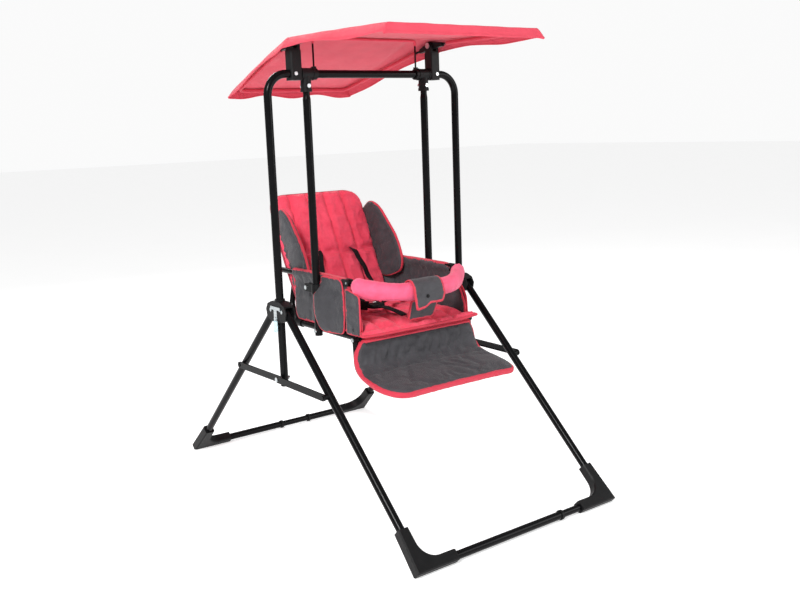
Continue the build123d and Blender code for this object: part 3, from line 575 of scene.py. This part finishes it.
# ---- seat ----
def seat_place(x, y, n):
    lip = max(0.0, -(y + 186)) / 30.0
    return (x, y, 504.0 - 6.0 * lip ** 1.5 + n + (3.5 * lip * max(0.0, x - 150) / 55))


seat_outline = rounded([(-176, 106), (176, 106), (176, -184), (199, -195), (211, -217), (150, -219), (-150, -219),
                        (-202, -214), (-197, -195), (-176, -184)], [16, 16, 8, 8, 5, 60, 60, 14, 10, 8])
seat_seams = [[(x, 98), (x, -80), (x * 1.08, -206)] for x in (-116, -58, 0, 58, 116)]
seat_seams.append([(-172, -72), (172, -72)])
seat_seams.append([(-190, -194), (190, -194)])


def seat_shape(x, y):
    thin = np.clip((-y - 150) / 60, 0, 1)
    return 0.0 * x, -5.0 * thin


seat = panel("seat_cushion_cover", seat_outline, seat_place, PINK_CLOTH, (-5.5, 0.5), (1.0, 15.5), seat_seams, cell=6,
             crown_width=34, seam_depth=0.78, seam_width=10, wrinkle=1.9, wrinkle_scale=(24, 30), shape=seat_shape,
             cap=6.5, seed=31)
belongs(seat, "swing_seat", "pink_fabric", "seat_cushion")
seat_tape = binding("seat_cushion_binding", seat_outline, seat_place, (-5.5, 0.5), half_width=3.6, lift=0.8,
                    inset=1.6)
belongs(seat_tape, "swing_seat", "pink_fabric")


def under_place(x, y, n):
    return (x, y, 491.0 - 9.0 * (max(0.0, -(y + 180)) / 30.0) ** 1.4 + n)


under_outline = rounded([(-170, -120), (170, -120), (176, -190), (190, -212), (-196, -213), (-176, -190)],
                        [8, 8, 12, 8, 8, 12])
under_layer = panel("seat_front_layer", under_outline, under_place, PINK_CLOTH, (-1.5, 1.5), (0.5, 1.5), cell=7,
                    crown_width=16, wrinkle=0.9, wrinkle_scale=(30, 18), cap=0, seed=36)
belongs(under_layer, "swing_seat", "pink_fabric")
under_tape = binding("seat_front_layer_binding", under_outline, under_place, (-1.5, 1.5), half_width=3.2, lift=0.7,
                     inset=1.4)
belongs(under_tape, "swing_seat", "pink_fabric")

base_outline = rounded([(-186, 116), (186, 116), (186, -118), (-186, -118)], 8)


def base_place(x, y, n):
    """Stretched over the side rails, sagging a little between them."""
    return (x, y, RAIL_Z + 11.0 + n - 1.6 * cos(x / 180 * pi / 2))


seat_sheet = panel("seat_base_cloth", base_outline, base_place, GREY_CLOTH, (-0.6, 0.6), (0.0, 0.0), cell=9,
                   wrinkle=0.0, cap=0)
belongs(seat_sheet, "swing_seat", "grey_fabric", "seat_base")

crotch_outline = rounded([(-38, -2), (50, -2), (62, 50), (-36, 56)], [4, 8, 12, 8])


def crotch_place(x, v, n):
    return (x, -205.0 - n - 0.25 * v, 519.0 + v * 0.97)


crotch = panel("crotch_panel_cover", crotch_outline, crotch_place, GREY_CLOTH, (-2.0, 2.0), (1.0, 2.0), cell=4.5,
               crown_width=16, wrinkle=1.4, wrinkle_scale=(20, 12), cap=0, seed=41)
belongs(crotch, "swing_seat", "grey_fabric", "crotch_panel")
crotch_tape = binding("crotch_panel_binding", crotch_outline, crotch_place, (-2.0, 2.0), half_width=3.8, lift=1.0)
belongs(crotch_tape, "swing_seat", "grey_fabric")

# ---- harness ----
BUCKLE = (-42.0, -58.0, 541.0)
for side_name, side in SIDES.items():
    route = [back_point(side * x, up, forward) for x, up, forward in
             ((64, 199, 20), (65, 194, 32), (68, 182, 38), (73, 160, 36), (81, 132, 43), (86, 104, 38), (90, 80, 45))]
    route += [(side * 66 - 14, 62, 562), (side * 24 + BUCKLE[0], -24, 546)]
    strap_points = resample(rounded(route, 18, closed=False), 6, closed=False)
    strap = sweep(f"{side_name}_shoulder_strap", strap_points, tape_section(25, 1.9), WEBBING,
                  up=Vector((0.35 * side, -0.8, 0.5)))
    belongs(strap, "swing_seat", "black_webbing", *(["harness_straps"] if side == LEFT else []))
    lap = rounded([(side * 172, 52, 534), (side * 132, 30, 552), (BUCKLE[0] + side * 66, -26, 550),
                   (BUCKLE[0] + side * 22, -50, 541)], 30, closed=False)
    belongs(sweep(f"{side_name}_lap_strap", resample(lap, 6, closed=False), tape_section(38, 2.2), WEBBING,
                  up=Vector((0, 0.8, 0.6))), "swing_seat", "black_webbing")
crotch_route = rounded([(-8, -150, 520), (-20, -118, 532), (-36, -92, 540), (BUCKLE[0], -74, 540)], 20, closed=False)
crotch_strap = sweep("crotch_strap", resample(crotch_route, 6, closed=False), tape_section(30, 2.2), WEBBING)
belongs(crotch_strap, "swing_seat", "black_webbing")


def buckle_place(u, v, n):
    return (BUCKLE[0] + u, BUCKLE[1] + v, BUCKLE[2] + n)


buckle_outline = rounded([(-26, 12), (-18, 20), (18, 20), (26, 12), (23, -14), (12, -21), (-12, -21), (-23, -14)], 7)
buckle_body = panel("buckle_body", buckle_outline, buckle_place, PLASTIC, (-6.0, 4.0), (1.0, 3.0), cell=3,
                    crown_width=10, seams=[[(-22, 8), (22, 8)]], seam_depth=0.7, seam_width=2.0, wrinkle=0, cap=0)
belongs(buckle_body, "swing_seat", "black_plastic", "harness_buckle")
buckle_button = stud("buckle_button", (BUCKLE[0], BUCKLE[1] - 4, BUCKLE[2] + 7.4), (0, 0, 1), 8.5)
belongs(buckle_button, "swing_seat", "black_plastic")

# ---- bumper bar ----
BOW = [(183, -156), (178, -170), (123, -224), (74, -246)]
bow = [(x, y, ARM_Z + (y + 136) * 0.193) for x, y in BOW]
bow = [(-x, y, z) for x, y, z in bow] + bow[::-1]
bow_points = resample(rounded(bow, [0, 8, 32, 25, 25, 32, 8, 0], closed=False, steps=12), 3.5, closed=False)


def sleeve(share, angle):
    """Loose fabric sleeve: taller than wide, gathered at both ends and creased across."""
    end = min(share, 1 - share)
    gather = 1 - 0.42 * exp(-(end / 0.018) ** 2)
    ripples = 0.035 * noise.noise(Vector((share * 34, cos(angle) * 1.1, sin(angle) * 1.1 + 3)))
    ripples += 0.030 * noise.noise(Vector((share * 80, cos(angle) * 2.0 + 5, sin(angle) * 2.0)))
    folds = 0.05 * sin(9 * angle + 3 * sin(share * 40)) * exp(-(end / 0.06) ** 2)
    size = gather * (1 + ripples + folds)
    droop = -4.5 * (1 - exp(-(end / 0.05) ** 2))
    tall = 24.0 + 2.5 * sin(share * 17) * 0.5
    low_edge = 1.0 + (0.13 if sin(angle) < -0.6 else 0.0)
    return (20.5 * cos(angle) * size, tall * sin(angle) * size * low_edge + droop)


bumper_sleeve = sweep("bumper_pad_cover", bow_points, sleeve, BRIGHT_CLOTH)
belongs(bumper_sleeve, "bumper_bar", "bright_pink_fabric", "bumper_pad")
seam_line = [Vector(p) + Vector((0, 0, -28.5)) for p in bow_points[6:-6]]
belongs(sweep("bumper_pad_seam", seam_line, round_section(1.3), BRIGHT_CLOTH), "bumper_bar", "bright_pink_fabric")

wrap_path = [(-247 + 22.5 * cos(a), 608 + 27 * sin(a)) for a in np.linspace(radians(-20), radians(180), 26)]
wrap_path += [(-270.5, 592), (-271.5, 566), (-271.5, 540)]
wrap_at = profile(wrap_path)


def wrap_place(x, s, n):
    p, normal = wrap_at(s)
    return (x, p[0] - normal[0] * n, p[1] - normal[1] * n)


turn_down = wrap_at.length - 68
wrap_outline = rounded([(-62, 0), (36, 0), (38, turn_down), (44, turn_down + 12), (34, turn_down + 37),
                        (-12, turn_down + 36), (-26, turn_down + 46), (-58, turn_down + 52), (-60, turn_down + 30),
                        (-64, turn_down)],
                       [6, 6, 10, 6, 8, 8, 8, 7, 14, 14])
wrap = panel("bumper_wrap_cover", wrap_outline, wrap_place, GREY_CLOTH, (0.8, 3.0), (0.0, 1.6), cell=5,
             crown_width=16, wrinkle=1.3, wrinkle_scale=(30, 16), cap=0, seed=51)
belongs(wrap, "bumper_bar", "grey_fabric", "bumper_wrap")
belongs(binding("bumper_wrap_binding", wrap_outline, wrap_place, (0.8, 3.0), lift=1.2), "bumper_bar", "grey_fabric")
belongs(stud("bumper_wrap_stud", wrap_place(-20, turn_down + 16, 5.2), (0, -1, 0)), "bumper_bar", "grey_fabric")

# ---- footrest ----
rest_at = profile(rounded([(-197, 482), (-200, 404), (-376, 370)], [0, 44, 0], closed=False, steps=14))


def rest_place(x, s, n):
    p, normal = rest_at(s)
    away = min(1.0, abs(s - 66) / 60)
    hang = 4.0 * (abs(x) / 212) ** 3 * away
    return (x, p[0] + normal[0] * n * -1, p[1] - normal[1] * n - hang * (s > 66))


span_s = rest_at.length
rest_outline = rounded([(-188, 0), (188, 0), (206, 26), (211, 80), (219, span_s - 40), (206, span_s), (-186, span_s),
                        (-219, span_s - 56), (-216, 90), (-210, 30)], [14, 14, 26, 40, 34, 34, 50, 60, 50, 30])
footrest_seams = [[(-200, 112), (-60, 108), (60, 108), (200, 112)], [(-196, 70), (0, 64), (196, 70)]]


def rest_shape(x, s):
    near_fold = np.exp(-((s - 62) / 24) ** 2)
    crease = np.array([noise.noise(Vector((a / 17.0 + b / 60.0, b / 55.0, 2.0))) for a, b in zip(x, s)])
    fan = np.array([noise.noise(Vector(((a + 0.9 * (b - 62)) / 26.0, 0.3, 8.0))) for a, b in zip(x, s)])
    return 0 * x, 6.5 * near_fold * crease + 6.0 * np.exp(-((s - 80) / 36) ** 2) * fan


footrest = panel("footrest_pad_cover", rest_outline, rest_place, GREY_CLOTH, (-4.5, 0.5), (2.0, 5.5),
                 footrest_seams, cell=6, crown_width=24, seam_depth=0.5, seam_width=8, wrinkle=1.1,
                 wrinkle_scale=(36, 22), shape=rest_shape, cap=3, seed=61)
belongs(footrest, "footrest", "grey_fabric", "footrest_pad")
footrest_tape = binding("footrest_binding", rest_outline, rest_place, (-13.0, 0.5), half_width=6.0, lift=1.5,
                        inset=2.0)
belongs(footrest_tape, "footrest", "grey_fabric")

# ---- canopy ----
RIDGE, FRONT, REAR = (0.0, 1302.0, 256.0), (-440.0, 1290.0, 241.0), (420.0, 1181.0, 206.0)
HEM_DROP, HEM_OUT = 23.0, 19.0
HOOP_X, HOOP_Z = 177.0, 1295.0
PIVOT_X, PIVOT_Z = 240.5, 1283.0
TAUT_X = 172.0           # outside the hoop's legs the cloth falls away


def canopy_top(x, y):
    """Height of the cloth over the hoop and the two rods."""
    end = FRONT if y < 0 else REAR
    share = abs(y) / abs(end[0])
    half = RIDGE[2] + (end[2] - RIDGE[2]) * share
    line = RIDGE[1] + (end[1] - RIDGE[1]) * share
    over = max(0.0, (abs(x) - TAUT_X) / (RIDGE[2] - TAUT_X))
    shoulder = -7.5 * min(over, 1.0) ** 1.8 * (1 - share) ** 1.3
    sag = -(9.0 if y < 0 else 13.0) * sin(pi * min(share, 1)) ** 1.2 * (1 - (min(abs(x) / half, 1)) ** 2.6)
    reach_x = TAUT_X + (end[2] - TAUT_X) * share
    tension = 4.2 * exp(-((abs(x) - reach_x) / 16) ** 2) * (1 - share) * min(1, share * 8 + 0.3)
    return line + shoulder + sag + tension


TOP_A, TOP_B = 0.88, 0.95


def canopy_point(a, b):
    """a runs across and b along, each from -1 to 1, with the side and end flaps beyond TOP_A and TOP_B."""
    across, along = min(abs(a) / TOP_A, 1.0), min(abs(b) / TOP_B, 1.0)
    flap_a, flap_b = max(0.0, abs(a) - TOP_A) / (1 - TOP_A), max(0.0, abs(b) - TOP_B) / (1 - TOP_B)
    end = FRONT if b < 0 else REAR
    y = (-1 if b < 0 else 1) * abs(end[0]) * along
    half = RIDGE[2] + (end[2] - RIDGE[2]) * along
    x = (1 if a > 0 else -1) * half * across
    z = canopy_top(x, y)
    scallop = 1.0 + 0.16 * sin(b * 9.0 + 1.0) * (1 - flap_b)
    fall = HEM_DROP * scallop
    if b > 0:
        fall *= 1.0 + 0.22 * cos(a * 2.5 * pi) * flap_b
    both = min(flap_a, flap_b)
    x += (1 if a > 0 else -1) * (HEM_OUT * flap_a ** 0.8 + 2.0 * both)
    y += (-1 if b < 0 else 1) * (4.0 * flap_b + 3.0 * both)
    z -= fall * max(flap_a, flap_b) ** 1.15 + 3.0 * both
    z += 1.1 * noise.noise(Vector((x / 55, y / 75, 1.0)))
    return Vector((x, y, z))


def graded(top, top_count, flap_count):
    """Steps from -1 to 1, with flap_count of them in each flap beyond top."""
    flap = np.linspace(top, 1, flap_count)
    steps = np.r_[np.linspace(-top, top, top_count), flap, np.linspace(-1, -top, flap_count)]
    return sorted(set(np.round(steps, 5)))


a_steps, b_steps = graded(TOP_A, 75, 7), graded(TOP_B, 121, 6)
wide_count, long_count = len(a_steps), len(b_steps)
cloth_points = [canopy_point(a, b) for b in b_steps for a in a_steps]
cloth_faces = [(j * wide_count + i, j * wide_count + i + 1, (j + 1) * wide_count + i + 1, (j + 1) * wide_count + i)
               for j in range(long_count - 1) for i in range(wide_count - 1)]
canopy = mesh_object("canopy_cloth", cloth_points, cloth_faces, [CANOPY_CLOTH])
thick = canopy.modifiers.new("thickness", "SOLIDIFY")
thick.thickness, thick.offset = 0.0011, 0.0
canopy.data = bpy.data.meshes.new_from_object(canopy.evaluated_get(bpy.context.evaluated_depsgraph_get()))
canopy.modifiers.clear()
belongs(canopy, "canopy", "pink_fabric", "canopy_cover")
border_loop = [canopy_point(a, -1) for a in a_steps] + [canopy_point(1, b) for b in b_steps[1:]]
border_loop += [canopy_point(a, 1) for a in reversed(a_steps[:-1])]
border_loop += [canopy_point(-1, b) for b in reversed(b_steps[1:-1])]
hem_line = resample(np.array([tuple(p) for p in border_loop]), 6)
hem = sweep("canopy_hem", hem_line, lambda share, angle: (1.5 * cos(angle), 2.6 * sin(angle)), CANOPY_CLOTH,
            closed=True)
belongs(hem, "canopy", "pink_fabric")

for sleeve_name, end, sign in (("front", FRONT, -1), ("rear", REAR, 1)):
    slope = (RIDGE[1] + 1 - end[1]) / abs(end[0])
    near_z = PIVOT_Z + 3 - 30 * slope
    far = (end[0] - sign * 8, end[1] - 7.5)
    start = Vector((-PIVOT_X, sign * 30, near_z))
    bend = Vector((-end[2] + 8, *far))
    start = start + (bend - start).normalized() * 40
    rod_path = [tuple(start), tuple(bend), (-bend.x, bend.y, bend.z), (-start.x, start.y, start.z)]
    rod_points = resample(rounded(rod_path, 24, closed=False, steps=10), 7, closed=False)

    def rod_sleeve(share, angle):
        loose = 4.6 + 0.5 * noise.noise(Vector((share * 60, cos(angle), 0)))
        return (loose * cos(angle), (4.6 if sin(angle) < 0 else 7.0) * sin(angle))
    sleeve_piece = sweep(f"canopy_{sleeve_name}_sleeve", rod_points, rod_sleeve, CANOPY_CLOTH)
    belongs(sleeve_piece, "canopy", "pink_fabric")

hoop_bar = rounded([(-HOOP_X, 0, HOOP_Z - 17), (-HOOP_X, 0, HOOP_Z), (HOOP_X, 0, HOOP_Z), (HOOP_X, 0, HOOP_Z - 17)],
                   [0, 16, 16, 0], closed=False)


def hoop_sleeve(share, angle):
    return ((5.4 + 0.5 * noise.noise(Vector((share * 50, cos(angle), 4)))) * cos(angle), 4.6 * sin(angle))


ridge_sleeve = sweep("canopy_ridge_sleeve", resample(hoop_bar, 6, closed=False), hoop_sleeve, CANOPY_CLOTH)
belongs(ridge_sleeve, "main_frame", "pink_fabric")

# ---- tag on the left lock ----
tag_points = []
for j in range(15):
    for i in range(9):
        u, v = i / 8 * 20 - 13, 533 - j / 14 * 33
        crumple = 2.2 * noise.noise(Vector((u / 7, v / 8, 3))) + 0.35 * (533 - v) * 0.12
        sway = 1.6 * sin(v / 7) * j / 14
        tag_points.append((-344.9 - max(0.0, crumple) - 0.4, u + sway,
                           v + 1.2 * noise.noise(Vector((u / 5, 9, v / 9)))))
tag_faces = [(j * 9 + i, j * 9 + i + 1, (j + 1) * 9 + i + 1, (j + 1) * 9 + i) for j in range(14) for i in range(8)]
tag = mesh_object("lock_tag_film", tag_points, tag_faces, [FILM])
tag_thick = tag.modifiers.new("thickness", "SOLIDIFY")
tag_thick.thickness, tag_thick.offset = 0.0004, 0.0
tag.data = bpy.data.meshes.new_from_object(tag.evaluated_get(bpy.context.evaluated_depsgraph_get()))
tag.modifiers.clear()
belongs(tag, "left_lock", "clear_film", "left_lock_tag")

# ---- floor, light and camera ----
bpy.context.scene.view_settings.view_transform = "Standard"
bpy.context.scene.view_settings.look = "None"
floor_mesh = bpy.data.meshes.new("floor")
FLOOR_HALF, FLOOR_Z = 30.0, -0.0004      # metres
floor_corners = [(x * FLOOR_HALF, y * FLOOR_HALF, FLOOR_Z) for x, y in ((-1, -1), (1, -1), (1, 1), (-1, 1))]
floor_mesh.from_pydata(floor_corners, [], [(0, 1, 2, 3)])
floor = bpy.data.objects.new("floor", floor_mesh)
bpy.context.scene.collection.objects.link(floor)
floor_finish = finish_of("pale_floor", ((0.93, 0.93, 0.93), (0.91, 0.91, 0.91)), 3, (0.75, 0.9), [(40, 0.0003)],
                         specular=0.1)
floor_shader = floor_finish.node_tree.nodes["Principled BSDF"]
floor_shader.inputs["Emission Color"].default_value = (1, 1, 1, 1)
floor_shader.inputs["Emission Strength"].default_value = 0.52
floor_mesh.materials.append(floor_finish)

world = bpy.data.worlds.new("studio")
bpy.context.scene.world = world
world.use_nodes = True
sky = world.node_tree
to_object, to_camera = sky.nodes["Background"], node(sky, "ShaderNodeBackground", Color=(1, 1, 1, 1), Strength=0.96)
to_object.inputs["Color"].default_value = (1.0, 1.0, 1.0, 1)
to_object.inputs["Strength"].default_value = 0.42
seen, choose = node(sky, "ShaderNodeLightPath"), node(sky, "ShaderNodeMixShader")
sky.links.new(seen.outputs["Is Camera Ray"], choose.inputs[0])
sky.links.new(to_object.outputs[0], choose.inputs[1])
sky.links.new(to_camera.outputs[0], choose.inputs[2])
sky.links.new(choose.outputs[0], sky.nodes["World Output"].inputs["Surface"])


def lamp(name, position, target, size, power):
    data = bpy.data.lights.new(name, "AREA")
    data.shape, data.size, data.size_y, data.energy = "RECTANGLE", size[0], size[1], power
    made = bpy.data.objects.new(name, data)
    made.location = position
    made.rotation_euler = (Vector(target) - Vector(position)).to_track_quat("-Z", "Y").to_euler()
    bpy.context.scene.collection.objects.link(made)


lamp("key", (-2.9, -2.0, 3.0), (0, 0, 0.7), (1.0, 1.0), 150)
lamp("fill", (2.6, -3.0, 1.7), (0, 0, 0.6), (1.8, 1.8), 45)
lamp("rim", (0.5, 3.0, 2.8), (0, 0, 0.9), (1.6, 0.8), 45)

FOCAL = 937.17           # in pixels of an 800 x 600 frame
FRAME_WIDTH = 800        # pixels
SENSOR_WIDTH = 36.0
CAMERA_AT = (-1.58364, -2.25116, 1.0539)
AZIMUTH, PITCH, ROLL = radians(-36.61), radians(10.57), radians(-2.07)
ahead = Vector((-sin(AZIMUTH) * cos(PITCH), cos(AZIMUTH) * cos(PITCH), -sin(PITCH)))
level = ahead.cross(Vector((0, 0, 1))).normalized()
upward = level.cross(ahead)
right_axis = level * cos(ROLL) + upward * sin(ROLL)
up_axis = -level * sin(ROLL) + upward * cos(ROLL)
camera_data = bpy.data.cameras.new("camera")
camera_data.sensor_width = SENSOR_WIDTH
camera_data.lens = FOCAL * SENSOR_WIDTH / FRAME_WIDTH
camera = bpy.data.objects.new("camera", camera_data)
turned = Matrix((right_axis, up_axis, -ahead)).transposed().to_4x4()
camera.matrix_world = Matrix.Translation(CAMERA_AT) @ turned
bpy.context.scene.collection.objects.link(camera)
bpy.context.scene.camera = camera
